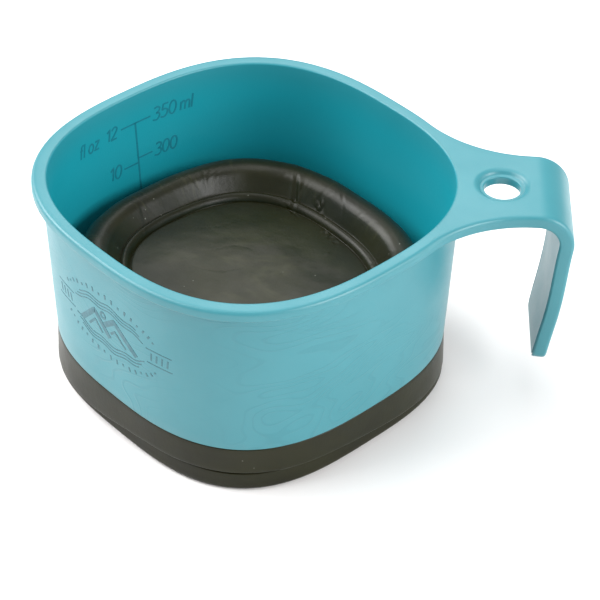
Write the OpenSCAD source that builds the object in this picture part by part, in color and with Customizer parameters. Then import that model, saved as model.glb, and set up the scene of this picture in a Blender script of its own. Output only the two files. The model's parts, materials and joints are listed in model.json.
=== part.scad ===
// Collapsible camp cup, collapsed: a rigid rounded-square band with a bent handle at one corner,
// and a soft base whose side wall folds up inside the band. The base pulls straight down to open it.
// +X runs through the handle's corner, +Z is up, and the origin is on the cup's axis where it stands.
// Every "half width" is measured from the axis to the middle of a flat side.

/* [Rigid band] */
// Height of the rim above the table, with the cup collapsed
rim_z = 51.7; // [50:0.1:54]
// Half width of the lip
lip_half = 43.5; // [42:0.1:45]
// How far the lip stands out from the wall
lip_overhang = 1.9; // [1.2:0.1:2.4]
// Height of the lip's outer face
lip_face_h = 1.5; // [1:0.1:2]
// Height of the band's lower edge
band_foot_z = 11.6; // [11:0.1:13]
// How far each side leans in from the rim to the band's lower edge
band_draft = 1.9; // [1:0.1:2.5]
// Wall thickness of the band
band_t = 1.2; // [1:0.05:1.5]
// How squarely the plan is drawn at the rim: 2 is a circle, more is squarer
rim_squareness = 2.62; // [2.4:0.01:2.9]
// The same at the table
foot_squareness = 2.80; // [2.6:0.01:3]

/* [Handle] */
// Thickness of the tab
tab_t = 3.0; // [2.4:0.1:3.4]
// Thickness of the leg
leg_t = 3.2; // [2.4:0.1:3.6]
// Distance from the axis to the outside of the bend
handle_reach = 69.2; // [66:0.1:74]
// Outer radius of the bend
bend_r = 8.0; // [6:0.1:9]
// Half width of the tab at its neck
neck_half = 11.5; // [10:0.1:12]
// Angle, seen from the axis, at which the tab's concave sides run out of the lip
root_angle = 30; // [28:0.5:31]
// Height of the leg's lower end
leg_foot_z = 10.6; // [8:0.1:16]
// Half width of the leg at its lower end
leg_foot_half = 9.5; // [7:0.1:9.8]
// How far the leg leans in towards the cup, in degrees
leg_lean = 5.5; // [2:0.1:8]
// Diameter of the hanging hole
hole_d = 8; // [6:0.1:10]
// Diameter of the dish around the hanging hole
dish_d = 11.8; // [11:0.1:13]
// Depth of the dish
dish_depth = 1.3; // [0.6:0.1:1.4]
// Distance from the axis to the hanging hole
hole_x = 53.7; // [52.5:0.1:55]

/* [Soft base] */
// Half width of the collar that is moulded over the band's lower edge
collar_half = 40.0; // [39.8:0.05:40.4]
// Height of the groove under the collar
groove_z = 5.1; // [4:0.1:6]
// Half width of the fold ring at the foot of the cup
fold_half = 38.95; // [38.8:0.05:39.2]
// Thickness of the soft walls
soft_t = 1.2; // [1.1:0.05:1.3]
// Half width of the middle of the rolled crest
crest_half = 32.0; // [31.5:0.1:32.3]
// Outer radius of the rolled crest
crest_r = 3.6; // [3.4:0.1:3.7]
// Height of the crest's top
crest_z = 30.45; // [29:0.05:32]
// Half width of the bead around the floor
bead_half = 25.6; // [24.5:0.1:26]
// Height of the floor's upper face
floor_z = 24.5; // [24:0.1:25.5]
// Thickness of the floor
floor_t = 1.6; // [1.2:0.1:2]
// How squarely the crest and the bead are drawn
base_squareness = 2.55; // [2.4:0.01:2.7]
// Fall of the crest towards the handle, in degrees, from being pushed in unevenly
crest_tilt = 2.1; // [0:0.1:3]
// Fall of the floor towards the handle, in degrees
floor_tilt = 4.5; // [0:0.1:5]

// How squarely the fold ring's outer edge is drawn
fold_squareness = 3.05; // [2.8:0.01:3.2]

/* [Hidden] */

teal = [0.33, 0.66, 0.72];
olive = [0.22, 0.22, 0.19];

segments = 96;              // facets round the plan
gap = 0.3;                  // clearance between zones that move apart
seam = 0.05;                // clearance between zones that don't
edge_r = 0.5;               // rounding of the lip's edges
skin_t = 0.62;              // collar skin outside the band's tongue
tongue_h = 4;               // how far the band's tongue reaches into the collar
tongue_t = 0.6;             // thickness of the tongue
lap_h = 2.4;                // how far the collar laps up inside the band
lap_t = 0.7;                // thickness of that lap
sole_t = 1.3;               // thickness of the flat sole
sole_r = 1.2;               // rounding of the fold ring's outer edge
roll_end = 130;             // angle at which the crest's roll ends, from outwards over the top
bend_steps = 16;            // facets round the bend
leg_corner_r = 2.2;         // rounding of the leg's lower corners
leg_straight = 2;           // how far below the bend's centre the leg starts to narrow
tab_root_half = 24;         // half width of the blank that the handle is cut from
root_cut = 4;               // length cut off the feather edge where the tab runs out into the lip
foot_h = 1.2;               // height of the foot under the floor

// Half widths of the band's wall, outside, at a height
wall_top = lip_half - lip_overhang;
function wall_half(z) = wall_top - band_draft * (rim_z - z) / (rim_z - band_foot_z);
tongue_half = wall_half(band_foot_z) - skin_t;
band_inner_foot = wall_half(band_foot_z) - band_t;
collar_inner = band_inner_foot - lap_t;
collar_inner_foot = collar_inner - 0.2;
fold_inner = collar_inner_foot - 0.2;
crest_centre_z = crest_z - crest_r;
roll_leg_z = crest_centre_z - 2.8;          // lower end of the crest's outer leg
slope_foot_half = bead_half + 1.35;         // where the slope ends, just outside the bead

// Squareness of the plan at a height, between the table and the rim
function squareness(z) = foot_squareness + (rim_squareness - foot_squareness) * z / rim_z;

// Distance from the axis to a rounded square's outline, at an angle from +X
function outline(half, n, angle) =
    half / pow(pow(abs(cos(angle - 45)), n) + pow(abs(sin(angle - 45)), n), 1 / n);

// A section's point: half width, height, squareness and the share of a tilt that it takes
function outer_pt(half, z) = [half, z, squareness(z), 0];
function base_pt(half, z, share = 0) = [half, z, base_squareness, share];

// Points on an arc of a section
function arc(half, z, r, from, to, steps) =
    [for (i = [0:steps]) let (a = from + (to - from) * i / steps) [half + r * cos(a), z + r * sin(a)]];

// Sweeps a closed section, listed anticlockwise, round the rounded-square plan
module ring(section, tilt = 0) {
    count = len(section);
    points = [for (k = [0:segments - 1], p = section)
        let (a = 360 * k / segments, r = outline(p[0], p[2], a))
        [r * cos(a), r * sin(a), p[1] - tan(tilt) * p[3] * r * cos(a)]];
    faces = [for (k = [0:segments - 1], i = [0:count - 1])
        let (near = k * count, far = ((k + 1) % segments) * count, j = (i + 1) % count)
        [near + i, near + j, far + j, far + i]];
    polyhedron(points = points, faces = faces, convexity = 8);
}

// A flat plate with the rounded-square plan
module plate(half, n, z0, z1) {
    translate([0, 0, z0])
        linear_extrude(z1 - z0)
            polygon([for (k = [0:segments - 1])
                let (a = 360 * k / segments) outline(half, n, a) * [cos(a), sin(a)]]);
}

// The rigid band: draughted wall, flared lip, and a thin tongue that the collar grips
module rim_band() {
    face_z = rim_z - edge_r - lip_face_h;
    flare_foot = face_z - 2.4;
    flare_r = lip_overhang - edge_r;
    lip = concat(
        [[wall_half(flare_foot), flare_foot]],
        [for (i = [1:4]) let (a = 20 * i)
            [wall_half(flare_foot) + flare_r * (1 - cos(a)), flare_foot + 1.9 * sin(a)]],
        [[lip_half, face_z]],
        arc(lip_half - edge_r, rim_z - edge_r, edge_r, 0, 90, 3),
        arc(wall_top - band_t + edge_r, rim_z - edge_r, edge_r, 90, 180, 3));
    color(teal)
        ring(concat(
            [for (p = lip) outer_pt(p[0], p[1])],
            [outer_pt(band_inner_foot, band_foot_z),
             outer_pt(tongue_half - tongue_t, band_foot_z - tongue_h),
             outer_pt(tongue_half, band_foot_z - tongue_h),
             outer_pt(tongue_half, band_foot_z),
             outer_pt(wall_half(band_foot_z), band_foot_z)]));
}

// Side view of the handle: flat tab, round bend and leaning leg
module handle_side() {
    bend_x = handle_reach - bend_r;
    bend_z = rim_z - bend_r;
    inner_r = bend_r - leg_t;
    outer = arc(bend_x, bend_z, bend_r, 90, -leg_lean, bend_steps);
    inner = arc(bend_x, rim_z - tab_t - inner_r, inner_r, -leg_lean, 90, bend_steps);
    down = bend_z * [-tan(leg_lean), -1];
    polygon(concat([[30, rim_z]], outer, [outer[bend_steps] + down, inner[0] + down], inner,
                   [[30, rim_z - tab_t]]));
}

// Plan of the handle: a straight neck whose sides curve out to run into the lip, tangent at both ends
module handle_plan() {
    root = outline(lip_half, rim_squareness, root_angle) * [cos(root_angle), sin(root_angle)];
    slope = [pow(cos(root_angle - 45), rim_squareness - 1), -pow(sin(45 - root_angle), rim_squareness - 1)];
    lean = 45 + atan2(slope[1], slope[0]);
    flare_r = (root[1] - neck_half) / (1 - sin(lean));
    centre = root + flare_r * [cos(lean), sin(lean)];
    root_half = root[1] - root_cut;
    difference() {
        translate([30, -root_half])
            square([50, 2 * root_half]);
        for (side = [0, 1])
            mirror([0, side]) {
                translate(centre)
                    circle(r = flare_r, $fn = 240);
                translate([centre[0], neck_half])
                    square(50);
            }
    }
}

// Front view of the handle: the leg narrows towards rounded lower corners
module handle_front() {
    shoulder_z = rim_z - bend_r - leg_straight;
    slant = atan2(neck_half - leg_foot_half, shoulder_z - leg_foot_z);
    corner = [leg_foot_half - leg_corner_r * (1 - sin(slant)), leg_foot_z + leg_corner_r];
    difference() {
        translate([-tab_root_half, leg_foot_z])
            square([2 * tab_root_half, rim_z - leg_foot_z]);
        for (side = [0, 1])
            mirror([side, 0]) {
                polygon([[leg_foot_half, leg_foot_z], [neck_half, shoulder_z],
                         [tab_root_half + 1, shoulder_z], [tab_root_half + 1, leg_foot_z - 1],
                         [leg_foot_half, leg_foot_z - 1]]);
                difference() {
                    translate([corner[0], leg_foot_z - 1])
                        square([leg_corner_r + 2, leg_corner_r + 1]);
                    translate(corner)
                        circle(r = leg_corner_r, $fn = 96);
                }
            }
    }
}

// The handle: a tab at one corner, bent down into a leg that hooks over a pack strap or a finger
module handle() {
    color(teal)
        difference() {
            intersection() {
                rotate([90, 0, 0])
                    linear_extrude(2 * tab_root_half + 2, center = true)
                        handle_side();
                linear_extrude(rim_z + 1)
                    handle_plan();
                rotate([90, 0, 90])
                    linear_extrude(100)
                        handle_front();
            }
            plate(lip_half, rim_squareness, rim_z - 8, rim_z + 1);
            translate([hole_x, 0, rim_z - tab_t - 1])
                cylinder(h = tab_t + 2, d = hole_d, $fn = 96);
            translate([hole_x, 0, rim_z - dish_depth])
                cylinder(h = dish_depth, d1 = hole_d, d2 = dish_d, $fn = 96);
            translate([hole_x, 0, rim_z])
                cylinder(h = 1, d = dish_d, $fn = 96);
        }
}

// Upper tier: soft collar moulded round the band's tongue and a little way up inside the band
module collar() {
    slot_z = band_foot_z - tongue_h;
    lap_z = band_foot_z + lap_h;
    color(olive)
        ring([outer_pt(collar_inner_foot, groove_z),
              outer_pt(collar_half - 0.3, groove_z),
              outer_pt(collar_half, groove_z + 0.4),
              outer_pt(wall_half(band_foot_z), band_foot_z),
              outer_pt(tongue_half, band_foot_z),
              outer_pt(tongue_half, slot_z),
              outer_pt(tongue_half - tongue_t, slot_z),
              outer_pt(band_inner_foot, band_foot_z),
              outer_pt(wall_half(lap_z) - band_t, lap_z),
              outer_pt(collar_inner + 0.3, lap_z),
              outer_pt(collar_inner, band_foot_z)]);
}

// Lower tier: the ring below the collar's groove, with a rounded foot
module fold_ring() {
    edge = arc(fold_half - sole_r, sole_r, sole_r, -90, 0, 5);
    color(olive)
        ring(concat(
            [outer_pt(fold_inner, 0)],
            [for (p = edge) [p[0], p[1], fold_squareness, 0]],
            [[fold_half - 0.25, groove_z, fold_squareness, 0],
             outer_pt(fold_inner, groove_z)]));
}

// Flat sole just inside the fold ring, where the wall turns up: the collapsed cup stands on it
module sole_ring() {
    color(olive)
        difference() {
            plate(fold_inner - seam, foot_squareness, 0, sole_t);
            plate(fold_inner - gap - soft_t, foot_squareness, -1, sole_t + 1);
        }
}

// Soft side wall, turned inside out: it rises from the sole to the crest and unrolls downwards
module folding_wall() {
    foot = fold_inner - gap;
    top = crest_half + crest_r;
    top_z = roll_leg_z - gap;
    color(olive)
        ring([outer_pt(foot - soft_t, sole_t),
              outer_pt(foot, sole_t),
              base_pt(top, top_z, 1),
              base_pt(top - soft_t, top_z, 1)], crest_tilt);
}

// Rolled crest where the wall turns over, an upside-down channel
module crest_roll() {
    outside = arc(crest_half, crest_centre_z, crest_r, 0, roll_end, 12);
    inside = arc(crest_half, crest_centre_z, crest_r - soft_t, roll_end, 0, 8);
    color(olive)
        ring(concat(
            [base_pt(crest_half + crest_r, roll_leg_z, 1)],
            [for (p = outside) base_pt(p[0], p[1], 1)],
            [for (p = inside) base_pt(p[0], p[1], 1)],
            [base_pt(crest_half + crest_r - soft_t, roll_leg_z, 1)]), crest_tilt);
}

// Slope from the crest's roll down to the bead; its foot follows the floor's own tilt
module floor_slope() {
    across = [cos(roll_end), sin(roll_end)];
    head = [crest_half, crest_centre_z] + crest_r * across;
    head_inner = head - soft_t * across;
    foot_share = tan(floor_tilt) / max(tan(crest_tilt), 0.001);
    foot_z = floor_z + 1.4;
    color(olive)
        ring([base_pt(head[0], head[1], 1),
              base_pt(slope_foot_half, foot_z, foot_share),
              base_pt(slope_foot_half, foot_z - soft_t, foot_share),
              base_pt(head_inner[0], head_inner[1], 1)], crest_tilt);
}

// Carries the floor's zones to their tilt about the middle of the floor
module tilted_floor() {
    translate([0, 0, floor_z])
        rotate([0, floor_tilt, 0])
            translate([0, 0, -floor_z])
                children();
}

// Rounded bead round the floor
module floor_bead() {
    bead_r = 1;
    foot_z = floor_z - floor_t;
    top = arc(bead_half, floor_z + 0.7, bead_r, 0, 180, 8);
    color(olive)
        tilted_floor()
            ring(concat(
                [base_pt(bead_half - bead_r, foot_z), base_pt(bead_half + bead_r, foot_z)],
                [for (p = top) base_pt(p[0], p[1])]));
}

// Flat floor inside the bead
module floor_panel() {
    color(olive)
        tilted_floor()
            plate(bead_half - 1, base_squareness, floor_z - floor_t, floor_z);
}

// Low foot under the floor, for standing when the cup is open
module foot_ring() {
    foot_z = floor_z - floor_t;
    color(olive)
        tilted_floor()
            difference() {
                plate(bead_half, base_squareness, foot_z - foot_h, foot_z);
                plate(bead_half - 2, base_squareness, foot_z - foot_h - 1, foot_z + 1);
            }
}

rim_band();
handle();
collar();
fold_ring();
sole_ring();
folding_wall();
crest_roll();
floor_slope();
floor_bead();
floor_panel();
foot_ring();
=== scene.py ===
"""A collapsible camp cup, folded: the looks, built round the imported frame."""
import json
import math

import bmesh
import bpy
import numpy as np
from mathutils import Matrix, Vector, noise


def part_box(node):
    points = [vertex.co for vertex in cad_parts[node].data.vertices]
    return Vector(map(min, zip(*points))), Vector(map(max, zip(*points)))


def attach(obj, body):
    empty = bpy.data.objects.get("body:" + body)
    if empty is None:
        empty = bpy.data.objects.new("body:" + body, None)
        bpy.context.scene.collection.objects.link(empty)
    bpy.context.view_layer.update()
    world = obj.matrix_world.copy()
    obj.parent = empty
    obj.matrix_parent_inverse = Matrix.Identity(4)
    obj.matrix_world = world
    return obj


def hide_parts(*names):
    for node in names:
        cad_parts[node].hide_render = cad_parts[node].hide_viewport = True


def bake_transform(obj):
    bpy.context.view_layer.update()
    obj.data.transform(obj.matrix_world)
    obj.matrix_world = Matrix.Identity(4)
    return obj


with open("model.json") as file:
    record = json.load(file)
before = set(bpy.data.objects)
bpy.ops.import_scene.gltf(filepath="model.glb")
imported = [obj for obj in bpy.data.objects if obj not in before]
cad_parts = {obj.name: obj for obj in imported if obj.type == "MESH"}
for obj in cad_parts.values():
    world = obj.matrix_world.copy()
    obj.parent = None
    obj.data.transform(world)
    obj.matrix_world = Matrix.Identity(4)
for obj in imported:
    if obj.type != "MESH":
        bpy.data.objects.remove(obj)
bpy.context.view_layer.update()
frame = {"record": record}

MM = 0.001
BAND = "cup_band"
BASE = "cup_floor"

# Lengths are in metres, but the bead, the creases and the printed marks are laid out in millimetres.
# +X runs through the handle and +Z is up. Angles round the plan start at +X.

# ------------------------------------------------------------ sizes, from the frame where it has them
SEGMENTS = 240                       # facets round the plan
SKIN_SEGMENTS = 480                  # and round the soft base's skin
RIM_N = 2.62                         # squareness of the plan at the rim: 2 is a circle
FOOT_N = 2.80                        # at the table
BASE_N = 2.55                        # of the crest and the floor
FOLD_N = 3.05                        # and of the fold ring, at the very bottom

RIM_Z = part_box("rim_band")[1][2]
GROOVE_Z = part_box("fold_ring")[1][2]
LAP_H = 2.4 * MM                     # how far the collar laps up inside the band
BAND_FOOT_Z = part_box("collar")[1][2] - LAP_H


def corner_factor(n):
    """How far a rounded square's corner lies from the axis, for a half width of 1."""
    return math.sqrt(2) * 0.5 ** (1 / n)


def squareness(z):
    """Squareness of the rigid outline at a height, between the table and the rim."""
    return FOOT_N + (RIM_N - FOOT_N) * z / RIM_Z


LIP_T = 2.6 * MM                     # depth of the lip
LIP_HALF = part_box("rim_band")[1][1] / corner_factor(squareness(RIM_Z - LIP_T))
FOLD_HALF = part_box("fold_ring")[1][1] / corner_factor(FOLD_N)
COLLAR_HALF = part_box("collar")[1][1] / corner_factor(FOOT_N)
CREST_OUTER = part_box("crest_roll")[1][1] / corner_factor(BASE_N)

WALL_T = 1.2 * MM                    # wall of the band
SKIN_T = 1.2 * MM                    # and of the soft base
LIP_OVERHANG = 1.9 * MM              # how far the lip stands out from the wall
BAND_DRAFT = 1.9 * MM                # how much narrower the wall is at its foot than at the rim
TAB_T = 3.0 * MM                     # thickness of the tab
LEG_T = 3.2 * MM                     # thickness of the leg
EDGE_R = 0.9 * MM                    # rounding of the lip's and the handle's outer edges

CREST_R = 3.6 * MM
CREST_HALF = CREST_OUTER - CREST_R   # half width at the middle of the crest's roll
CREST_Z = 30.45 * MM                 # height of the crest's top, on the axis's level
ROLL_Z = CREST_Z - CREST_R           # and of the middle of its roll
FULL_Z = 24 * MM                     # the wall has the crest's squareness and tilt from here up
FLOOR_Z = 24.5 * MM
FLOOR_HALF = 23.2 * MM
SOLE_T = 1.3 * MM
SOLE_HALF = 37.4 * MM                # where the folding wall's foot meets the fold ring
CREST_TILT = math.tan(math.radians(2.1))
FLOOR_TILT = math.tan(math.radians(4.5))


def wall_half(z):
    """Outer half width of the band's wall at a height."""
    return LIP_HALF - LIP_OVERHANG - BAND_DRAFT * (RIM_Z - z) / (RIM_Z - BAND_FOOT_Z)


# ------------------------------------------------------------ materials
TEAL_DEEP = (0.036, 0.216, 0.256)
TEAL_LIGHT = (0.042, 0.232, 0.274)
TEAL_LINE = (0.022, 0.165, 0.200)
TEAL_INSIDE_PAINTED_LIGHT = (0.008, 0.300, 0.368)
RUBBER_DARK = (0.0080, 0.0082, 0.0016)
RUBBER_LIGHT = (0.0140, 0.0142, 0.0028)
RUBBER_BLOOM = (0.048, 0.048, 0.016)
RUBBER_GAP_PAINTED_SHADE = (0.001, 0.001, 0.001)
DUST = (0.24, 0.24, 0.20)
INK_DARK = (0.032, 0.125, 0.158)
INK_LIGHT = (0.048, 0.175, 0.212)
MARK_DARK = (0.004, 0.175, 0.23)
MARK_LIGHT = (0.006, 0.20, 0.26)


class Nodes:
    """A material's node tree, with short ways to add and join nodes."""

    def __init__(self, name):
        self.material = bpy.data.materials.new(name)
        self.material.use_nodes = True
        self.tree = self.material.node_tree
        self.shader = self.tree.nodes["Principled BSDF"]
        self.place = self.tree.nodes.new("ShaderNodeTexCoord").outputs["Object"]

    def link(self, value, socket):
        if isinstance(value, bpy.types.NodeSocket):
            self.tree.links.new(value, socket)
        else:
            socket.default_value = value

    def math(self, operation, a, b=0.5, clamp=False):
        node = self.tree.nodes.new("ShaderNodeMath")
        node.operation = operation
        node.use_clamp = clamp
        self.link(a, node.inputs[0])
        self.link(b, node.inputs[1])
        return node.outputs[0]

    def times(self, a, b):
        return self.math("MULTIPLY", a, b)

    def noise(self, scale, detail=2.0, rough=0.5, distort=0.0, stretch=None, where=None):
        node = self.tree.nodes.new("ShaderNodeTexNoise")
        where = where or self.place
        if stretch:
            mapping = self.tree.nodes.new("ShaderNodeMapping")
            mapping.inputs["Scale"].default_value = stretch
            mapping.inputs["Rotation"].default_value = (0, 0, 0.5)
            self.tree.links.new(where, mapping.inputs["Vector"])
            where = mapping.outputs["Vector"]
        self.tree.links.new(where, node.inputs["Vector"])
        node.inputs["Scale"].default_value = scale
        node.inputs["Detail"].default_value = detail
        node.inputs["Roughness"].default_value = rough
        node.inputs["Distortion"].default_value = distort
        return node.outputs["Fac"]

    def specks(self, scale, size):
        """1 in small round spots, 0 elsewhere."""
        node = self.tree.nodes.new("ShaderNodeTexVoronoi")
        self.tree.links.new(self.place, node.inputs["Vector"])
        node.inputs["Scale"].default_value = scale
        return self.span(node.outputs["Distance"], size, 0.6 * size, 0, 1)

    def span(self, value, low, high, to_low=0.0, to_high=1.0):
        node = self.tree.nodes.new("ShaderNodeMapRange")
        node.interpolation_type = "SMOOTHSTEP"
        self.link(value, node.inputs["Value"])
        ends = {"From Min": low, "From Max": high, "To Min": to_low, "To Max": to_high}
        for key, number in ends.items():
            node.inputs[key].default_value = number
        return node.outputs["Result"]

    def mix(self, factor, a, b):
        node = self.tree.nodes.new("ShaderNodeMix")
        node.data_type = "RGBA"
        self.link(factor, node.inputs["Factor"])
        self.link(a if isinstance(a, bpy.types.NodeSocket) else (*a, 1), node.inputs["A"])
        self.link(b if isinstance(b, bpy.types.NodeSocket) else (*b, 1), node.inputs["B"])
        return node.outputs["Result"]

    def stored(self, name, output="Fac"):
        """A value, or with "Vector" a place, that the mesh carries."""
        node = self.tree.nodes.new("ShaderNodeAttribute")
        node.attribute_name = name
        return node.outputs[output]

    def bump(self, height, distance, strength=1.0, under=None):
        node = self.tree.nodes.new("ShaderNodeBump")
        node.inputs["Distance"].default_value = distance
        node.inputs["Strength"].default_value = strength
        self.link(height, node.inputs["Height"])
        if under:
            self.tree.links.new(under, node.inputs["Normal"])
        return node.outputs["Normal"]

    def finish(self, colour, roughness, normal):
        self.link(colour, self.shader.inputs["Base Color"])
        self.link(roughness, self.shader.inputs["Roughness"])
        self.link(normal, self.shader.inputs["Normal"])
        return self.material


def teal_material():
    """Satin moulded plastic, with faint contour lines in its own colour on the outside and painted
    light on the inside.
    """
    m = Nodes("satin_teal_plastic")
    cloud = m.noise(55, 3, 0.55)
    colour = m.mix(m.span(cloud, 0.3, 0.7), TEAL_DEEP, TEAL_LIGHT)
    # Painted light: the inner walls take a more saturated, lighter teal than the outside, as lighting
    # inside the cup; only half of it is mixed in at the rim
    colour = m.mix(m.stored("inside"), colour, TEAL_INSIDE_PAINTED_LIGHT)
    # Contours: thin lines where a slow noise passes through whole steps, shown in patches
    land = m.times(m.noise(17, 2, 0.5, 0.25, (1, 1, 3.0)), 34)
    offset = m.math("ABSOLUTE", m.math("SUBTRACT", m.math("FRACT", land), 0.5))
    lines = m.span(offset, 0.15, 0.05)
    patches = m.span(m.noise(30, 1), 0.40, 0.60)
    contours = m.times(m.times(lines, patches), m.stored("outside"))
    colour = m.mix(m.times(contours, 0.22), colour, TEAL_LINE)
    grain = m.noise(2600, 2, 0.6)
    cloudy = m.span(m.noise(90, 4, 0.6), 0.3, 0.7, 0.31, 0.37)
    rough = m.math("ADD", cloudy, m.times(grain, 0.06))
    normal = m.bump(contours, 0.00006, 0.5)
    normal = m.bump(grain, 0.00003, 0.5, normal)
    m.shader.inputs["Specular IOR Level"].default_value = 0.56
    return m.finish(colour, rough, normal)


def rubber_material():
    """Semi-matt moulded elastomer with dust, rubbed streaks, a fine skin texture and painted shade in
    the gap behind the band.
    """
    m = Nodes("olive_rubber")
    cloud = m.noise(70, 4, 0.6)
    colour = m.mix(m.span(cloud, 0.3, 0.7), RUBBER_DARK, RUBBER_LIGHT)
    # Pale bloom on the floor, and rubbed wrinkles on the crest and slope
    streaks = m.span(m.noise(45, 4, 0.6, 0.8, (1, 1.8, 1)), 0.4, 0.68)
    bloom = m.times(m.span(streaks, 0, 1, 0.3, 1), m.stored("floor_area"))
    colour = m.mix(m.times(bloom, 0.5), colour, RUBBER_BLOOM)
    wrinkles = m.noise(1150, 2, 0.55, 0.4, None, m.stored("along_crest", "Vector"))
    patches = m.times(m.span(m.noise(85, 3, 0.6), 0.5, 0.62), m.stored("crest_area"))
    rubbed = m.times(m.span(wrinkles, 0.54, 0.66), patches)
    colour = m.mix(m.times(rubbed, 0.3), colour, RUBBER_BLOOM)
    # Painted shade: the folding wall is painted near-black and made duller in the gap between it and
    # the band, where the band shades it
    gap = m.times(m.stored("gap"), 0.4)
    colour = m.mix(gap, colour, RUBBER_GAP_PAINTED_SHADE)
    dust = m.times(m.specks(420, 0.085), m.span(m.noise(110, 2), 0.55, 0.66))
    colour = m.mix(m.times(dust, 0.75), colour, DUST)
    skin = m.noise(1500, 3, 0.6)
    cloudy = m.span(m.noise(120, 4, 0.6), 0.3, 0.7, 0.33, 0.40)
    rough = m.math("ADD", cloudy, m.times(bloom, -0.06))
    creases = m.noise(420, 3, 0.55, 0.6, (1, 1, 0.35))
    normal = m.bump(creases, 0.00012, 0.35)
    normal = m.bump(m.times(wrinkles, m.stored("crest_area")), 0.00008, 0.16, normal)
    normal = m.bump(skin, 0.00004, 0.5, normal)
    shine = m.span(m.stored("crest_area"), 0, 1, 0.25, 0.33)
    # Painted shade: less specular in the shaded gap too
    shine = m.math("ADD", shine, m.times(gap, -0.3), True)
    m.link(shine, m.shader.inputs["Specular IOR Level"])
    return m.finish(colour, rough, normal)


def ink_material():
    """Thin printed ink, a little worn."""
    m = Nodes("printed_ink")
    worn = m.noise(900, 3, 0.7)
    colour = m.mix(m.span(worn, 0.35, 0.75), INK_DARK, INK_LIGHT)
    rough = m.span(m.noise(300, 3), 0.3, 0.7, 0.42, 0.56)
    return m.finish(colour, rough, m.bump(worn, 0.00002, 0.4))


def mark_material():
    """The volume scale, moulded in the plastic's own colour and a little darker."""
    m = Nodes("scale_mark")
    worn = m.noise(700, 3, 0.7)
    colour = m.mix(m.span(worn, 0.35, 0.75), MARK_DARK, MARK_LIGHT)
    rough = m.span(m.noise(300, 3), 0.3, 0.7, 0.42, 0.54)
    return m.finish(colour, rough, m.bump(worn, 0.00002, 0.4))


teal = teal_material()
rubber = rubber_material()
ink = ink_material()
mark = mark_material()

# ------------------------------------------------------------ mesh helpers
def outline(half, n, angle):
    """Distance from the axis to a rounded square's outline; angle in radians from +X."""
    a = np.asarray(angle) - math.pi / 4
    return half / (np.abs(np.cos(a)) ** n + np.abs(np.sin(a)) ** n) ** (1 / n)


def arc(x, z, r, start, end, steps):
    """Points on an arc of a section, angles in degrees."""
    angles = np.radians(np.linspace(start, end, steps + 1))
    return [(x + r * math.cos(a), z + r * math.sin(a)) for a in angles]


def line(p, q, steps):
    """Points from p to q, both ends left out."""
    (x, z), (dx, dz) = p, (q[0] - p[0], q[1] - p[1])
    return [(x + dx * i / steps, z + dz * i / steps) for i in range(1, steps)]


def spline(points, steps):
    """Points along a smooth curve through the given ones, both ends kept."""
    pts = [np.array(p, float) for p in points]
    pts = [2 * pts[0] - pts[1]] + pts + [2 * pts[-1] - pts[-2]]
    curve = []
    for a, b, c, d in zip(pts, pts[1:], pts[2:], pts[3:]):
        for i in range(steps):
            t = i / steps
            curve.append(0.5 * (2 * b + (c - a) * t + (2 * a - 5 * b + 4 * c - d) * t * t
                                + (3 * b - a - 3 * c + d) * t ** 3))
    return [tuple(p) for p in curve] + [tuple(pts[-2])]


def swept(section, segments=SEGMENTS):
    """A section of (half width, z, squareness, tilt) carried round the plan: [segment, point, xyz]."""
    angle = np.linspace(0, 2 * math.pi, segments, endpoint=False)[:, None]
    half, z, n, tilt = np.array(section, float).T[:, None, :]
    r = outline(half, n, angle)
    x = r * np.cos(angle)
    return np.stack([x, r * np.sin(angle), z - tilt * x], -1)


class Sheet:
    """Collects faces by their corners' places, and joins them where the places are the same."""

    def __init__(self):
        self.points = []
        self.faces = []
        self.index = {}

    def point(self, p):
        key = tuple(round(float(c) * 1e8) for c in p)
        if key not in self.index:
            self.index[key] = len(self.points)
            self.points.append(tuple(float(c) for c in p))
        return self.index[key]

    def face(self, *corners):
        ids = []
        for c in corners:
            i = self.point(c)
            if i not in ids:
                ids.append(i)
        if len(ids) > 2:
            self.faces.append(ids)

    def grid(self, rows):
        """Quads between neighbouring rows of points."""
        for a, b in zip(rows, rows[1:]):
            for i in range(len(a) - 1):
                self.face(a[i], a[i + 1], b[i + 1], b[i])

    def build(self, name, sharp=38):
        mesh = bpy.data.meshes.new(name)
        mesh.from_pydata(self.points, [], self.faces)
        bm = bmesh.new()
        bm.from_mesh(mesh)
        bmesh.ops.recalc_face_normals(bm, faces=bm.faces)
        bm.to_mesh(mesh)
        bm.free()
        mesh.shade_smooth()
        mesh.set_sharp_from_angle(angle=math.radians(sharp))
        obj = bpy.data.objects.new(name, mesh)
        bpy.context.scene.collection.objects.link(obj)
        return obj


def points_of(obj):
    place = np.empty(3 * len(obj.data.vertices), np.float32)
    obj.data.vertices.foreach_get("co", place)
    return place.reshape(-1, 3).astype(float)


def attribute(obj, name, values):
    values = np.asarray(values, np.float32)
    layer = obj.data.attributes.new(name, "FLOAT_VECTOR" if values.ndim == 2 else "FLOAT", "POINT")
    layer.data.foreach_set("vector" if values.ndim == 2 else "value", values.ravel())


# ------------------------------------------------------------ the rigid band with its handle
def lip_edge():
    """The lip's outer edge as (inset from the outline, height over the rim), from below to on top."""
    under_r = 0.55 * MM
    groove_z = 0.28 * MM - LIP_T
    low = [(-1.05 * MM, -LIP_T), (-0.95 * MM, groove_z), (-0.7 * MM, groove_z)]
    low += arc(-under_r, under_r - LIP_T, under_r, -75, 0, 4)
    high = arc(-EDGE_R, -EDGE_R, EDGE_R, 0, 90, 5)
    return [(-x, z) for x, z in low + high]


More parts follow.
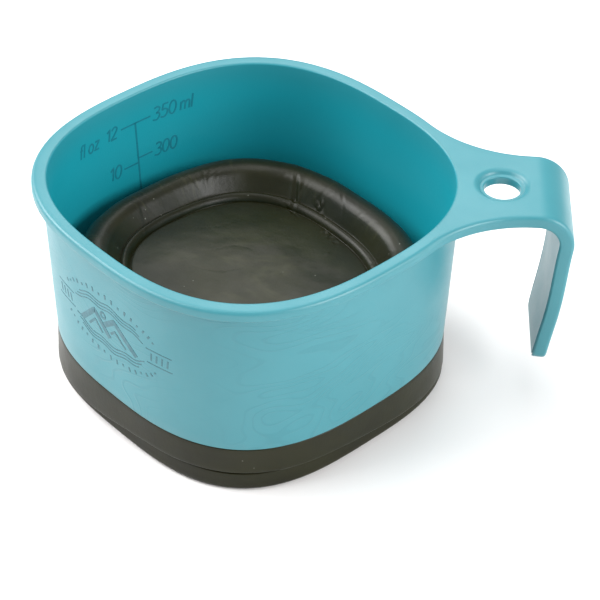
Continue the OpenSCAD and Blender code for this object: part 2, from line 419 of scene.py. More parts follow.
def band_section():
    """(half width, z) round the band's wall, and which points begin and end the lip's edge."""
    foot_r = 0.2 * MM
    fillet_r = LIP_OVERHANG - 0.65 * MM
    inner_r = 0.5 * MM
    fillet_z = RIM_Z - LIP_T - fillet_r
    inner_top = wall_half(RIM_Z) - WALL_T
    outside = arc(wall_half(BAND_FOOT_Z) - foot_r, BAND_FOOT_Z + foot_r, foot_r, -90, 0, 3)
    outside += line(outside[-1], (wall_half(fillet_z), fillet_z), 14)
    outside += arc(wall_half(fillet_z) + fillet_r, fillet_z, fillet_r, 180, 90, 6)
    edge = [(LIP_HALF - inset, RIM_Z + z) for inset, z in lip_edge()]
    inner_edge = arc(inner_top + inner_r, RIM_Z - inner_r, inner_r, 90, 180, 5)
    inner_foot = (wall_half(BAND_FOOT_Z) - WALL_T, BAND_FOOT_Z)
    inside = line(edge[-1], inner_edge[0], 3) + inner_edge
    inside += line(inner_edge[-1], inner_foot, 16) + [inner_foot]
    first = len(outside)
    return outside + edge + inside, first, first + len(edge) - 1


NECK_HALF = 11.5 * MM
ROOT_STEPS = 20                      # facets from the handle's centre line to where it leaves the lip
SIDE_STEPS = 24                      # facets along the arc from there into the neck
LEG_FOOT_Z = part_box("handle")[0][2]
LEG_FOOT_HALF = 9.5 * MM
LEG_LEAN = math.radians(5.5)
LEG_BOW = 0.5 * MM                   # how far the leg bulges outwards between its ends
BEND_R = 8.0 * MM
BEND_Z = RIM_Z - BEND_R
BEND_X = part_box("handle")[1][0] - BEND_R
HOLE_X = frame["record"]["mounts"][0]["pos_m"][0]
HOLE_R = frame["record"]["mounts"][0]["dims"]["r_mm"] * MM


def flare():
    """Centre, radius and root angle of the arc that runs from the lip into the handle's neck."""
    root = ROOT_STEPS * 2 * math.pi / SEGMENTS
    at = outline(LIP_HALF, RIM_N, root) * np.array([math.cos(root), math.sin(root)])
    power = RIM_N - 1
    side = math.pi / 4 - root
    normal = math.pi / 4 + math.atan2(-math.sin(side) ** power, math.cos(side) ** power)
    radius = (at[1] - NECK_HALF) / (1 - math.sin(normal))
    return at + radius * np.array([math.cos(normal), math.sin(normal)]), radius, normal


def leg_width(below):
    """Half width of the leg at a distance below the middle of the bend."""
    return NECK_HALF + (LEG_FOOT_HALF - NECK_HALF) * max(0, below / (BEND_Z - LEG_FOOT_Z))


def rounding(distance, r):
    """How much an edge is drawn in at a distance from the end, for a rounding of radius r."""
    return r - math.sqrt(max(0, r * r - max(0, r - distance) ** 2))


def handle_stations():
    """Places along the handle: (point on top, normal there, half width, thickness, end's rounding)."""
    tab = np.linspace(flare()[0][0], BEND_X, 3)[:-1]
    stations = [((x, RIM_Z), (0, 1), NECK_HALF, TAB_T, 0) for x in tab]
    for t in np.linspace(0, 1, 25):
        a = (math.pi / 2 + LEG_LEAN) * t
        up = (math.sin(a), math.cos(a))
        thick = TAB_T + (LEG_T - TAB_T) * t
        point = (BEND_X + BEND_R * up[0], BEND_Z + BEND_R * up[1])
        stations.append((point, up, NECK_HALF, thick, 0))
    (x, z), up = stations[-1][:2]
    down = np.array([-math.sin(LEG_LEAN), -math.cos(LEG_LEAN)])
    length = (z - LEG_FOOT_Z) / math.cos(LEG_LEAN)
    corner_r, end_r = 2.4 * MM, 0.9 * MM
    along = list(np.linspace(0, length - corner_r, 16))[1:]
    along += [length - corner_r * (1 - math.sin(a)) for a in np.radians(np.linspace(10, 50, 5))]
    along += [length - end_r * (1 - math.sin(a)) for a in np.radians(np.linspace(24, 90, 6))]
    for s in along:
        left = length - s
        width = leg_width(s * math.cos(LEG_LEAN)) - rounding(left, corner_r)
        bow = LEG_BOW * math.sin(math.pi * s / length) ** 2
        point = (x + down[0] * s + up[0] * bow, z + down[1] * s + up[1] * bow)
        stations.append((point, up, width, LEG_T, rounding(left, end_r)))
    return stations


def handle_loop(station, edge, across):
    """One section round the handle: along the top, round an edge, along the underside, and back."""
    (x, z), up, width, thick, drawn_in = station

    def place(y, depth):
        """The lip's edge keeps its roundings, and the flat between them takes the thickness."""
        depth = depth if depth > -LIP_T / 2 else depth + LIP_T - thick
        middle = -thick / 2
        depth = middle + (depth - middle) * (1 - 2 * drawn_in / thick)
        return (x + up[0] * depth, y, z + up[1] * depth)

    top = [place(v * (width - edge[-1][0]), 0) for v in across]
    right = [place(width - inset, depth) for inset, depth in reversed(edge)]
    under = [place(v * (width - edge[0][0]), -LIP_T) for v in reversed(across)]
    left = [place(inset - width, depth) for inset, depth in edge]
    return top[:-1] + right[:-1] + under[:-1] + left


def hole_rings():
    """(radius, z) down the hanging hole, from the tab's top face to its underside."""
    dish_r = 5.9 * MM
    ledge_z = RIM_Z - 0.95 * MM
    ledge_r = HOLE_R + 0.3 * MM
    round_r = 0.3 * MM
    lead = 0.35 * MM
    brim = (dish_r, RIM_Z - 0.05 * MM)
    rings = [(dish_r + 0.5 * MM, RIM_Z), brim]
    rings += spline([brim, (5.35 * MM, RIM_Z - 0.36 * MM), (4.95 * MM, RIM_Z - 0.84 * MM),
                     (4.7 * MM, ledge_z), (ledge_r, ledge_z)], 4)[1:]
    rings += arc(ledge_r, ledge_z - round_r, round_r, 90, 150, 3)[1:]
    rings += [(HOLE_R, ledge_z - 0.34 * MM), (HOLE_R, RIM_Z - TAB_T + lead)]
    return rings + arc(HOLE_R + lead, RIM_Z - TAB_T + lead, lead, 180, 270, 4)[1:]


def add_handle(sheet, rings, first):
    """The tab, bend and leg, joined to the lip's own points."""
    edge = lip_edge()
    centre, radius, normal = flare()
    across = np.linspace(-1, 1, 2 * ROOT_STEPS + 1)
    root = [rings[k % SEGMENTS] for k in range(-ROOT_STEPS, ROOT_STEPS + 1)]

    def side(step, j, sign):
        """A point of the flared side: the lip's edge carried round the flare."""
        if step == 0:
            return root[-1][first + j] if sign > 0 else root[0][first + j]
        a = normal + math.pi + (0.5 * math.pi - normal) * step / SIDE_STEPS
        inset, depth = edge[j]
        reach = radius + inset
        depth -= (TAB_T - LIP_T) * step / SIDE_STEPS if depth < -LIP_T / 2 else 0
        x, y = centre[0] + reach * math.cos(a), centre[1] + reach * math.sin(a)
        return (x, sign * y, RIM_Z + depth)

    for sign in (-1, 1):
        sheet.grid([[side(s, j, sign) for j in range(len(edge))] for s in range(SIDE_STEPS + 1)])

    stations = handle_stations()
    loops = [handle_loop(s, edge, across) for s in stations]
    for loop in loops:
        loop.append(loop[0])
    sheet.grid(loops)
    end = loops[-1]
    n, m = len(across), len(edge)
    under = list(reversed(end[n + m - 2:2 * n + m - 2]))
    for i in range(n - 1):
        sheet.face(end[i], end[i + 1], under[i + 1], under[i])
    sheet.face(*end[n - 1:n + m - 1])
    sheet.face(*end[2 * n + m - 3:])

    def face_outline(on_top):
        """The edge of the tab's top or under face: round the lip, along a side, across, and back."""
        j = len(edge) - 1 if on_top else 0
        z = RIM_Z if on_top else RIM_Z - TAB_T
        loop = [r[first + j] for r in root]
        loop += [side(s, j, 1) for s in range(1, SIDE_STEPS)]
        loop += [(centre[0], v * (NECK_HALF - edge[j][0]), z) for v in reversed(across)]
        loop += [side(s, j, -1) for s in range(SIDE_STEPS - 1, 0, -1)]
        return [np.array(p, float) for p in loop]

    def hole_ring(r, z):
        return [np.array((HOLE_X + r * math.cos(a), r * math.sin(a), z)) for a in angles]

    turn = np.unwrap([math.atan2(p[1], p[0] - HOLE_X) for p in face_outline(True)])
    even = turn[0] + (turn[-1] - turn[0]) * np.arange(len(turn)) / (len(turn) - 1)
    angles = 0.5 * turn + 0.5 * even
    rings = [hole_ring(*ring) for ring in hole_rings()]
    for on_top, ring in ((True, rings[0]), (False, rings[-1])):
        loop = face_outline(on_top)
        rows = [[p + (q - p) * t for p, q in zip(loop, ring)] for t in np.linspace(0, 1, 7)]
        sheet.grid([[*row, row[0]] for row in rows])
    sheet.grid([[*ring, ring[0]] for ring in rings])


def make_band():
    section, first, last = band_section()
    rings = swept([(h, z, squareness(z), 0) for h, z in section])
    sheet = Sheet()
    count = len(section)
    for k in range(SEGMENTS):
        here, there = rings[k], rings[(k + 1) % SEGMENTS]
        in_handle = k < ROOT_STEPS or k >= SEGMENTS - ROOT_STEPS
        for j in range(count):
            if not (in_handle and first <= j < last):
                i = (j + 1) % count
                sheet.face(here[j], there[j], there[i], here[i])
    add_handle(sheet, rings, first)
    obj = sheet.build("band_with_handle", 50)
    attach(obj, BAND)
    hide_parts("rim_band", "handle")
    # Where the material shows contours, and where the inner walls get their painted light: a more
    # saturated teal, painted paler towards the rim
    x, y, z = points_of(obj).T
    radius = np.hypot(x, y)
    middle = outline(wall_half(z) - WALL_T / 2, squareness(z), np.arctan2(y, x))
    wall = (z < RIM_Z - 3.5 * MM) & (radius > middle) & (radius < middle + 2 * MM)
    attribute(obj, "outside", np.where(wall, 1.0, 0.0))
    inner = (z < RIM_Z - 0.2 * MM) & (radius < middle)
    # Painted light: at the rim only half of the inside colour is mixed in, so the top 7 mm of the inner
    # wall is painted paler
    below_rim = np.clip((RIM_Z - z) / (7 * MM), 0, 1)
    attribute(obj, "inside", np.where(inner, 0.5 + 0.5 * below_rim, 0.0))
    obj.data.materials.append(teal)


make_band()


# ------------------------------------------------------------ the soft base
# How far the collar's lower edge hangs below its height at the front: (degrees from the handle,
# millimetres)
EDGE_FALL = (
    (0, 2.3), (40, 1.0), (60, 0.2), (90, 0), (120, 0.2), (140, 1.2), (160, 2.4), (180, 2.7),
    (200, 2.6), (210, 2.5), (222, 1.6), (232, 0.5), (240, 0), (300, 0), (312, 0.6), (326, 1.4),
    (340, 2.0), (360, 2.3),
)


def collar_section():
    """(half width, z) of the collar and the fold ring below it, from the foot's inside and round."""
    foot_r = 1.2 * MM
    lap_z = BAND_FOOT_Z + LAP_H
    outer_foot = FOLD_HALF - foot_r
    band_foot = wall_half(BAND_FOOT_Z)
    pts = [(SOLE_HALF, 0)] + arc(outer_foot, foot_r, foot_r, -90, 0, 6)
    ring_r = 0.3 * MM
    ring_top = (FOLD_HALF - 0.2 * MM, GROOVE_Z - 0.75 * MM)
    pts += line(pts[-1], ring_top, 4) + arc(ring_top[0] - ring_r, ring_top[1], ring_r, 0, 90, 3)
    groove = FOLD_HALF - 1.0 * MM
    pts += [(groove, GROOVE_Z - 0.45 * MM), (groove, GROOVE_Z)]
    lip_r = 0.35 * MM
    pts += arc(COLLAR_HALF - lip_r, GROOVE_Z + lip_r, lip_r, -90, 0, 4)
    top_r = 0.25 * MM
    shoulder = (band_foot, BAND_FOOT_Z - top_r)
    pts += line(pts[-1], shoulder, 8) + arc(shoulder[0] - top_r, shoulder[1], top_r, 0, 90, 3)
    inner = band_foot - WALL_T
    pts += [(inner + 0.1 * MM, BAND_FOOT_Z), (inner + 0.1 * MM, lap_z), (inner - 0.3 * MM, lap_z)]
    pts += [(inner - 0.7 * MM, BAND_FOOT_Z), (inner - 0.9 * MM, GROOVE_Z), (SOLE_HALF, SOLE_T)]
    return pts


def edge_fall(angle):
    """How much lower than at the front the soft collar's edge hangs, at angles in radians."""
    return np.interp(np.degrees(angle) % 360, *zip(*EDGE_FALL)) * MM


def make_collar():
    section = []
    for h, z in collar_section():
        on_fold_ring = h > SOLE_HALF + 0.2 * MM and z < GROOVE_Z - 0.1 * MM
        section.append((h, z, FOLD_N if on_fold_ring else squareness(z), 0))
    rings = swept(section)
    angle = np.arctan2(rings[..., 1], rings[..., 0])
    z = rings[..., 2]
    # Only the groove's surroundings follow the uneven edge: the foot and the collar's top stay level
    fixed_z = BAND_FOOT_Z - 0.6 * MM
    up = np.clip((z - 0.9 * MM) / (GROOVE_Z - 1.0 * MM), 0, 1)
    down = np.clip((fixed_z - z) / (fixed_z - GROOVE_Z), 0, 1)
    rings[..., 2] = z - edge_fall(angle) * np.minimum(up, down)
    sheet = Sheet()
    loop = [[*ring, ring[0]] for ring in rings]
    sheet.grid([*loop, loop[0]])
    obj = sheet.build("soft_collar", 35)
    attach(obj, BAND)
    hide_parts("collar", "fold_ring")
    attribute(obj, "floor_area", np.zeros(len(obj.data.vertices)))
    obj.data.materials.append(rubber)


def between(value, low, high):
    """0 at the low end, 1 at the high end, and held there outside them."""
    return min(1, max(0, (value - low) / (high - low)))


def base_squareness(z):
    """Squareness of the soft base: the foot's at the sole, the crest's from FULL_Z up."""
    return FOOT_N + (BASE_N - FOOT_N) * between(z, SOLE_T, FULL_Z)


# The bead round the floor, from outside inwards, and the narrow groove at its inner foot, each point as
# (half width, z) in millimetres
BEAD = ((26.92, 25.66), (26.6, 25.86), (26.25, 25.92), (25.85, 25.78), (25.45, 25.45), (25.15, 25.0),
        (24.98, 24.6))
BEAD_FOOT = ((24.93, 24.36), (24.85, 24.3), (24.72, 24.36), (24.62, 24.49))


def skin_profile():
    """The soft base's upper skin, from the foot to the middle: (half width, z, squareness, tilt)."""
    wall_top = (CREST_HALF + CREST_R, ROLL_Z - 2.8 * MM)
    slope_foot = (27.0 * MM, 25.7 * MM)
    wall = [(SOLE_HALF, SOLE_T), (37.1 * MM, SOLE_T + 0.3 * MM)]
    wall += line(wall[-1], wall_top, 14) + [wall_top]
    roll = arc(CREST_HALF, ROLL_Z, CREST_R, 0, 90, 10)
    turn = arc(CREST_HALF, ROLL_Z, CREST_R, 90, 147, 8)[1:]
    slope = line(turn[-1], slope_foot, 6) + [slope_foot]
    slope += spline([(h * MM, z * MM) for h, z in BEAD], 2)
    slope += [(h * MM, z * MM) for h, z in BEAD_FOOT]
    slope += [(h, FLOOR_Z) for h in (24.3 * MM, 23.8 * MM, FLOOR_HALF)]
    floor = [(FLOOR_HALF * t, FLOOR_Z) for t in np.linspace(1, 0, 56)[1:]]
    points = []
    for h, z in wall + roll + turn:
        points.append((h, z, base_squareness(z), between(z, SOLE_T, FULL_Z) * CREST_TILT))
    for h, z in slope:
        t = min(1, (turn[-1][0] - h) / (turn[-1][0] - 26.3 * MM))
        points.append((h, z, BASE_N, CREST_TILT + (FLOOR_TILT - CREST_TILT) * t))
    for h, z in floor:
        points.append((h, z, BASE_N - (BASE_N - 2) * (1 - h / FLOOR_HALF), FLOOR_TILT))
    return points, len(wall) + len(roll) - 1


# Creases pressed into the soft base when it was pushed in: angle in degrees from the handle, then half
# width, length inwards, width round the plan and depth in millimetres. A negative depth is a raised
# crumb.
CREASES = (
    (73.2, 27.7, 2.6, 0.42, 0.80), (71.0, 28.4, 1.8, 0.40, 0.22), (68.6, 29.0, 1.5, 0.42, 0.16),
    (60.5, 28.6, 1.5, 0.50, 0.20), (56.0, 30.2, 1.6, 0.42, 0.18), (50.0, 30.3, 1.7, 0.45, 0.20),
    (36.0, 30.4, 1.6, 0.42, 0.20), (29.0, 30.2, 1.4, 0.40, 0.16), (12.0, 27.4, 2.2, 0.45, 0.25),
    (114.0, 29.9, 1.7, 0.45, 0.28), (111.5, 30.3, 1.4, 0.40, 0.18), (107.0, 30.4, 1.2, 0.40, 0.16),
    (119.0, 29.5, 1.5, 0.42, 0.16), (150.0, 29.2, 1.8, 0.45, 0.18), (203.0, 29.3, 2.2, 0.50, 0.22),
    (247.0, 28.8, 2.4, 0.50, 0.25), (291.0, 29.2, 2.0, 0.50, 0.22), (333.0, 29.0, 2.2, 0.50, 0.24),
    (60.0, 27.4, 0.45, 0.45, -0.95), (58.8, 27.9, 0.30, 0.35, -0.80), (48.5, 24.3, 0.45, 0.5, -0.80),
    (46.5, 23.6, 0.45, 0.5, 1.0), (41.0, 23.5, 0.40, 0.7, 0.9), (71.5, 24.4, 0.5, 0.6, 1.1),
    (31.0, 19.2, 0.5, 0.45, -0.25), (158.0, 25.6, 0.3, 0.35, -0.18),
)
CREASE_STRENGTH = 0.36               # how much of those depths is used


def grid_normals(rings):
    """Normals of a swept skin, from its neighbours round the plan and along the profile."""
    around = np.roll(rings, -1, 0) - np.roll(rings, 1, 0)
    along = np.gradient(rings, axis=1)
    n = np.cross(around, along)
    length = np.linalg.norm(n, axis=-1, keepdims=True)
    return np.where(length > 1e-16, n / np.maximum(length, 1e-16), (0.0, 0.0, 1.0))


def crumple(x, y, half, z):
    """How far the soft skin is pressed in at a place, in metres."""
    p = Vector((x, y, z)) / MM

    def wave(*place):
        return noise.noise(Vector(place))

    # Slow waves over the whole skin, which die out down the folding wall
    rise = between(z / MM, 12, 24)
    depth = 0.30 * rise * noise.noise(p / 17) + 0.12 * rise * noise.noise(p / 6)
    if half < FLOOR_HALF:
        # The floor: shallow waves, fine ones, and a few long thin folds in patches
        inside = 1 - half / FLOOR_HALF
        depth += 0.07 * min(1, 3 * inside) * wave(p.x / 9, p.y / 5, 3.1)
        depth += 0.025 * min(1, 5 * inside) * wave(p.x / 2.6, p.y / 2.0, 7.7)
        fold = max(0, 1 - abs(wave(p.x / 14 + 0.4, p.y / 9, 11.0)) / 0.07) ** 2
        where = max(0, wave(p.x / 16, p.y / 16, 21.0) + 0.1)
        depth += 0.15 * where * min(1, 3 * inside) * fold
    elif half > 26.5 * MM:
        # The top of the slope: fine wrinkles across it, in patches
        band = math.exp(-((half / MM - 29.6) / 1.9) ** 2)
        angle = math.atan2(y, x)
        fine = wave(math.cos(angle) * 26, math.sin(angle) * 26, half / MM / 5)
        patch = 0.5 + 0.5 * wave(math.cos(angle) * 2.5, math.sin(angle) * 2.5, 5.0)
        depth += 0.045 * band * patch * fine
    return depth * MM


def creased(rings, profile, depth):
    """Adds the creases to the depths, round their own places on the skin."""
    angle = np.degrees(np.arctan2(rings[..., 1], rings[..., 0]))
    half = np.broadcast_to(np.array([p[0] for p in profile]) / MM, angle.shape)
    above = rings[..., 2] > 20 * MM
    radius = np.hypot(rings[..., 0], rings[..., 1]) / MM
    # Each crease is a groove that runs inwards, a little aslant, between two low ridges
    for at, middle, length, width, deep in CREASES:
        away = (angle - at + 180) % 360 - 180 + 3.5 * (half - middle) / length * math.sin(7.0 * at)
        across = np.radians(away) * radius / width
        along = (half - middle) / length
        groove = np.exp(-across ** 2 - along ** 2)
        ridge = 0.35 * np.exp(-(np.abs(across) - 1.9) ** 2 - along ** 2)
        depth = depth + np.where(above, CREASE_STRENGTH * deep * MM * (groove - ridge), 0)
    return depth


def soft_skin():
    """The soft base's upper skin: its places, its normals, and which ring is the crest's top."""
    profile, first = skin_profile()
    rings = swept(profile, SKIN_SEGMENTS)
    depth = [[crumple(*p[:2], q[0], p[2]) for p, q in zip(ring, profile)] for ring in rings]
    depth = creased(rings, profile, np.array(depth))
    depth[:, -1] = depth[:, -1].mean()
    skin = rings - grid_normals(rings) * depth[..., None]
    return skin, grid_normals(skin), first


def own_normals(obj, sheet, points, normals):
    """Gives the skin's faces its own normals, so that the cut at the crest doesn't show."""
    pairs = zip(points.reshape(-1, 3), normals.reshape(-1, 3))
    table = {sheet.point(p): tuple(n) for p, n in pairs}
    mesh = obj.data
    corners = []
    for face in mesh.polygons:
        known = all(v in table for v in face.vertices)
        corners += [table[v] if known else (0, 0, 0) for v in face.vertices]
    mesh.normals_split_custom_set(corners)


def wrapped(rows):
    """Rows round the plan, each closed on its first point, from [segment, row, xyz]."""
    rows = np.swapaxes(rows, 0, 1)
    return [[*row, row[0]] for row in rows]


def foot_rows():
    """The folding wall's foot: the sole that the cup stands on, back to the wall's outer face."""
    foot_r = 0.5 * MM
    inner = 35.9 * MM
    pts = arc(inner + foot_r, foot_r, foot_r, 180, 270, 4) + [(37.0 * MM, 0), (SOLE_HALF, 0)]
    return swept([(h, z, base_squareness(z), 0) for h, z in pts], SKIN_SEGMENTS)


def base_underside():
    """Rows of points under the crest, slope and floor, with the low foot."""
    under = FLOOR_Z - 1.6 * MM
    foot = under - 1.2 * MM
    foot_outer, foot_inner, bevel = 25.6 * MM, 23.6 * MM, 0.25 * MM
    under_edge = 26.7 * MM
    pts = arc(CREST_HALF, ROLL_Z, CREST_R - SKIN_T, 100, 140, 4)
    bend = [(28.9 * MM, 26.6 * MM), (27.6 * MM, 24.9 * MM), (27.0 * MM, 24.0 * MM)]
    pts += spline([pts[-1], *bend], 3)[1:]
    pts += [(under_edge, under + 0.2 * MM), (26.4 * MM, under)]
    pts += [(foot_outer, under), (foot_outer, foot + bevel), (foot_outer - bevel, foot)]
    pts += [(foot_inner + bevel, foot), (foot_inner, foot + bevel), (foot_inner, under)]
    pts += [(foot_inner * t, under) for t in (0.98, 0.9, 0.7, 0.45, 0.2, 0)]
    rows = []
    for h, z in pts:
        t = between(CREST_HALF - h, 0, CREST_HALF - under_edge)
        rows.append((h, z, BASE_N, CREST_TILT + (FLOOR_TILT - CREST_TILT) * t))
    return swept(rows, SKIN_SEGMENTS)


def make_base():
    """The folding wall and the floor: one skin, cut at the crest's top so that the floor can travel."""
    skin, normals, first = soft_skin()
    inner = skin - normals * SKIN_T

    wall_sheet = Sheet()
    outside = skin[:, :first + 1]
    loop = np.concatenate([outside, inner[:, first:2:-1], foot_rows(), outside[:, :1]], 1)
    wall_sheet.grid(wrapped(loop))
    wall = wall_sheet.build("folding_wall_skin", 35)
    own_normals(wall, wall_sheet, outside[:, 2:], normals[:, 2:first + 1])
    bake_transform(wall)
    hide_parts("folding_wall", "sole_ring")

    floor_sheet = Sheet()
    above = skin[:, first:]
    loop = np.concatenate([above[:, ::-1], inner[:, first:first + 1], base_underside()], 1)
    floor_sheet.grid(wrapped(loop))
    floor = floor_sheet.build("base_skin", 35)
    own_normals(floor, floor_sheet, above, normals[:, first:])
    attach(floor, BASE)
    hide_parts("crest_roll", "floor_slope", "floor_bead", "floor_panel", "foot_ring")

    for obj in (wall, floor):
        obj.data.materials.append(rubber)
        x, y, z = points_of(obj).T
        reach = np.hypot(x, y)
        half = reach / outline(1, BASE_N, np.arctan2(y, x))
        # Zones of the material, each with a soft edge
        attribute(obj, "floor_area", np.clip((24 * MM - half) / (16 * MM), 0, 1) * (z > 18 * MM))
        attribute(obj, "crest_area", np.clip((half - 26 * MM) / (2 * MM), 0, 1) * (z > 22 * MM))
        # Painted shade: this zone is the wall's outer face behind the band, which the material paints
        # near-black as shade
        attribute(obj, "gap", np.clip((half - 34.4 * MM) / (1.2 * MM), 0, 1) * (z > 2 * MM))
        # Noise at this place makes wrinkles across the crest: it changes slowly inwards, fast round it
        round_plan = 29 * MM / np.maximum(reach, 1 * MM)
        attribute(obj, "along_crest", np.stack([x * round_plan, y * round_plan, 0.18 * half], 1))


make_collar()
make_base()


# ------------------------------------------------------------ printed marks
def on_wall(u, z, facing, inside, lift):
    """A place on one of the band's flat walls, u along it to the reader's right; facing in degrees."""
    half = wall_half(z) - (WALL_T if inside else 0)
    n = squareness(z)
    p = (half ** n - abs(u) ** n) ** (1 / n) + (-lift if inside else lift)
    a = math.radians(facing)
    side = -1 if inside else 1
    v = side * u
    return (p * math.cos(a) - v * math.sin(a), p * math.sin(a) + v * math.cos(a), z)


def finely(points, step=0.45):
    """Adds points so that none are further apart than a step."""
    fine = [points[0]]
    for a, b in zip(points, points[1:]):
        fine += line(a, b, max(1, math.ceil(math.dist(a, b) / step))) + [b]
    return fine


INK_BELOW, INK_ABOVE = -0.05, 0.035  # how deep the ink is sunk in the wall, and how far it stands out


def stroke(sheet, points, width, place):
    """A closed, very thin bar of ink along a line of points in millimetres."""
    pts = np.array(finely(points))
    ahead = np.gradient(pts, axis=0)
    ahead /= np.maximum(np.linalg.norm(ahead, axis=1, keepdims=True), 1e-9)
    side = np.stack([-ahead[:, 1], ahead[:, 0]], 1) * width / 2
    bars = []
    for p, s in zip(pts, side):
        corners = [place(*(p - s), INK_BELOW), place(*(p + s), INK_BELOW)]
        corners += [place(*(p + s), INK_ABOVE), place(*(p - s), INK_ABOVE)]
        bars.append([*corners, corners[0]])
    sheet.grid(bars)
    sheet.face(*bars[0][:4])
    sheet.face(*bars[-1][:4])


def curve(*points):
    """A smooth line through a few points."""
    return spline(points, 5)


def ellipse(x, y, rx, ry, end=360, steps=28):
    angles = np.radians(np.linspace(0, end, steps + 1))
    return [(x + rx * math.cos(a), y + ry * math.sin(a)) for a in angles]


# Each figure's width and its lines, for a height of 1
FIGURES = {
    "0": (0.56, [ellipse(0.28, 0.5, 0.27, 0.5)]),
    "1": (0.34, [[(0.02, 0.76), (0.27, 1), (0.27, 0)]]),
    "2": (0.56, [curve((0.03, 0.78), (0.14, 0.95), (0.32, 1), (0.5, 0.86), (0.46, 0.6), (0.02, 0)),
                 [(0.02, 0), (0.56, 0)]]),
    "3": (0.56, [curve((0.05, 0.94), (0.28, 1), (0.5, 0.86), (0.46, 0.63), (0.24, 0.54)),
                 curve((0.24, 0.54), (0.5, 0.44), (0.54, 0.2), (0.32, 0), (0, 0.07))]),
    "5": (0.56, [[(0.54, 1), (0.13, 1), (0.08, 0.55)],
                 curve((0.08, 0.55), (0.3, 0.61), (0.52, 0.46), (0.5, 0.16), (0.27, 0), (0, 0.06))]),
    "m": (0.72, [[(0, 0), (0, 0.68)],
                 curve((0, 0.48), (0.14, 0.66), (0.3, 0.62), (0.34, 0.4), (0.34, 0)),
                 curve((0.34, 0.46), (0.48, 0.66), (0.64, 0.62), (0.68, 0.4), (0.68, 0))]),
    "l": (0.12, [[(0.03, 0), (0.03, 1.06)]]),
    "f": (0.32, [curve((0.36, 1.02), (0.2, 1.0), (0.13, 0.8), (0.13, 0)), [(0, 0.66), (0.3, 0.66)]]),
    "o": (0.5, [ellipse(0.24, 0.33, 0.23, 0.34)]),
    "z": (0.46, [[(0.02, 0.66), (0.42, 0.66), (0, 0), (0.44, 0)]]),
    " ": (0.16, []),
}
SLANT = 0.16
LETTER_GAP = 0.12


def figures(sheet, word, u, z, height, width, place):
    for letter in word:
        wide, lines = FIGURES[letter]
        for pts in lines:
            slanted = [(u + height * (x + SLANT * y), z + height * y) for x, y in pts]
            stroke(sheet, slanted, width, place)
        u += height * (wide + LETTER_GAP)


def make_scale():
    """Volume marks on the inside: millilitres on the right of the line, fluid ounces on the left."""
    rim = RIM_Z / MM
    line_width = 0.42
    sheet = Sheet()

    def place(u, z, lift):
        return on_wall(u * MM, z * MM, 135, True, lift * MM)

    stroke(sheet, [(0, rim - 7.3), (0.4, rim - 27)], line_width, place)
    for below, left, right in ((7.5, -4.1, 4.4), (17.0, 0.15, 4.3), (18.2, -4.0, 0.1)):
        stroke(sheet, [(left, rim - below), (right, rim - below)], 0.4, place)
    words = (("350 ml", 5.0, 9.1, 3.3), ("300", 4.9, 18.5, 3.2), ("12", -8.6, 9.0, 3.0),
             ("fl oz", -17.2, 9.1, 3.1), ("10", -8.5, 19.7, 3.3))
    for word, u, below, height in words:
        figures(sheet, word, u, rim - below, height, line_width, place)
    obj = sheet.build("volume_scale")
    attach(obj, BAND)
    obj.data.materials.append(mark)


def make_emblem():
    """A plain printed badge: two hills and a sun between wavy lines, with ticks and ruled bars."""
    sheet = Sheet()

    middle_u, middle_z = 0.6, 31.4

    def place(u, z, lift):
        return on_wall((u + middle_u) * MM, (z + middle_z) * MM, 225, False, lift * MM)

    bold, fine = 1.3, 0.6
    stroke(sheet, [(-9.2, -2.7), (-4.2, 2.5), (0.4, -2.7)], bold, place)
    stroke(sheet, [(-1.0, 0.2), (2.4, 3.0), (8.9, -2.7)], bold, place)
    stroke(sheet, [(-6.6, -2.7), (-4.3, -0.2), (-2.0, -2.7)], fine, place)
    stroke(sheet, [(0.9, -1.1), (2.4, 0.3), (5.6, -2.7)], fine, place)
    stroke(sheet, ellipse(-1.3, 2.6, 0.75, 0.75, 345), fine, place)
    reach = 11.2
    tick_across, tick_up = 16.0, 7.6      # half widths of the ellipse that the ticks stand on
    for sign in (1, -1):
        for k in range(3):
            wave = []
            for x in np.linspace(-reach + 0.9 * k, reach - 0.9 * k, 70):
                level = 4.5 + 0.85 * k - 1.9 * (x / reach) ** 2 + 0.32 * math.sin(0.86 * x + 0.4)
                wave.append((x, sign * level))
            stroke(sheet, wave, 0.27, place)
        for k, a in enumerate(np.radians(np.linspace(30, 150, 17))):
            x, z = math.cos(a), sign * math.sin(a)
            tall = 1.0 if k % 3 else 0.55
            foot = (tick_across * x, 0.2 * sign + tick_up * z)
            head = (foot[0] + tall * 0.7 * x, foot[1] + tall * 1.15 * z)
            stroke(sheet, [foot, head], 0.5, place)
        for level in (1.9, -1.9):
            stroke(sheet, [(sign * 12.0, level), (sign * 18.6, level)], 0.24, place)
        for x in (13.2, 14.6, 16.0, 17.4):
            stroke(sheet, [(sign * x, -1.0), (sign * (x + 0.25), 1.0)], 0.4, place)
    obj = sheet.build("badge")
    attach(obj, BAND)
    obj.data.materials.append(ink)


make_scale()
make_emblem()

# ------------------------------------------------------------ studio
floor_mesh = bpy.data.meshes.new("studio_floor")
floor_mesh.from_pydata([(-2, -2, 0), (2, -2, 0), (2, 2, 0), (-2, 2, 0)], [], [(0, 1, 2, 3)])
studio_floor = bpy.data.objects.new("studio_floor", floor_mesh)
bpy.context.scene.collection.objects.link(studio_floor)

paper = Nodes("white_paper")
paper_white = paper.mix(paper.noise(3), (0.925, 0.91, 0.905), (0.94, 0.925, 0.92))
floor_mesh.materials.append(paper.finish(paper_white, 0.9, paper.bump(paper.noise(400), 0.00001)))

LAMP_DISTANCE = 0.9
AIM_HEIGHT = 0.03


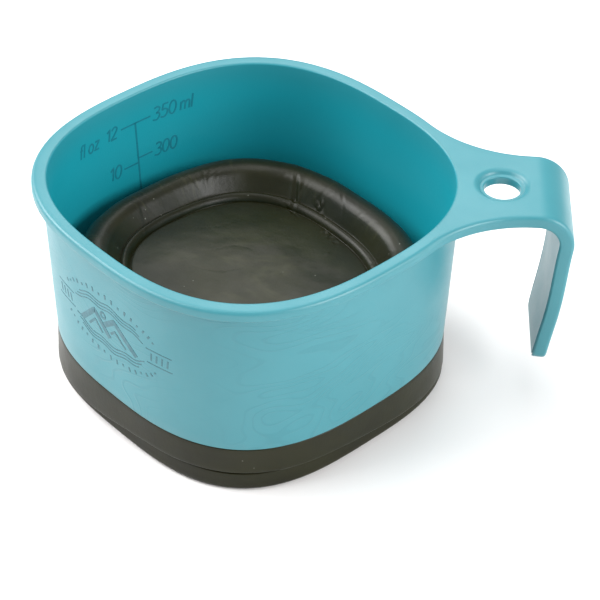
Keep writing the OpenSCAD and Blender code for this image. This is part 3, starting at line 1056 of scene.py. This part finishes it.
def softbox(name, azimuth, elevation, power, size=0.5):
    """A square area light that faces the cup, with its angles in degrees."""
    a, e = math.radians(azimuth), math.radians(elevation)
    aim = Vector((0, 0, AIM_HEIGHT))
    data = bpy.data.lights.new(name, "AREA")
    data.size = size
    data.energy = power
    lamp = bpy.data.objects.new(name, data)
    away = Vector((math.cos(a) * math.cos(e), math.sin(a) * math.cos(e), math.sin(e)))
    lamp.location = aim + LAMP_DISTANCE * away
    lamp.rotation_euler = (aim - lamp.location).to_track_quat("-Z", "Y").to_euler()
    bpy.context.scene.collection.objects.link(lamp)


softbox("left", 180, 45, 8.6, 0.75)
softbox("back_left", 150, 35, 4.6)
softbox("front_right", -30, 25, 6.6)
softbox("back", 90, 45, 2.2)
softbox("right", 0, 15, 1.2)
softbox("top", 45, 80, 1.8)


def place_camera():
    """The viewpoint: from the front, 3.5 degrees to the handle's side and 35.5 degrees up."""
    azimuth, elevation, roll = (math.radians(a) for a in (3.5, 35.54, 1.37))
    distance = 440.6 * MM
    flat = math.cos(elevation)
    back = Vector((math.sin(azimuth) * flat, -math.cos(azimuth) * flat, math.sin(elevation)))
    place = Vector((0, 0, RIM_Z)) + distance * back
    aim = Vector((11.6 * MM, -20.1 * MM, 33.8 * MM))
    ahead = (aim - place).normalized()
    level = ahead.cross(Vector((0, 0, 1))).normalized()
    upward = level.cross(ahead)
    right = level * math.cos(roll) + upward * math.sin(roll)
    up = upward * math.cos(roll) - level * math.sin(roll)
    data = bpy.data.cameras.new("camera")
    data.sensor_width = 36
    data.lens = 123.2
    camera = bpy.data.objects.new("camera", data)
    axes = Matrix((right, up, -ahead)).transposed()
    camera.matrix_world = Matrix.Translation(place) @ axes.to_4x4()
    bpy.context.scene.collection.objects.link(camera)
    bpy.context.scene.camera = camera


place_camera()

world = bpy.data.worlds.new("studio")
world.use_nodes = True
background = world.node_tree.nodes["Background"]
background.inputs["Color"].default_value = (1, 1, 1, 1)
background.inputs["Strength"].default_value = 0.45
bpy.context.scene.world = world
bpy.context.scene.view_settings.view_transform = "Standard"
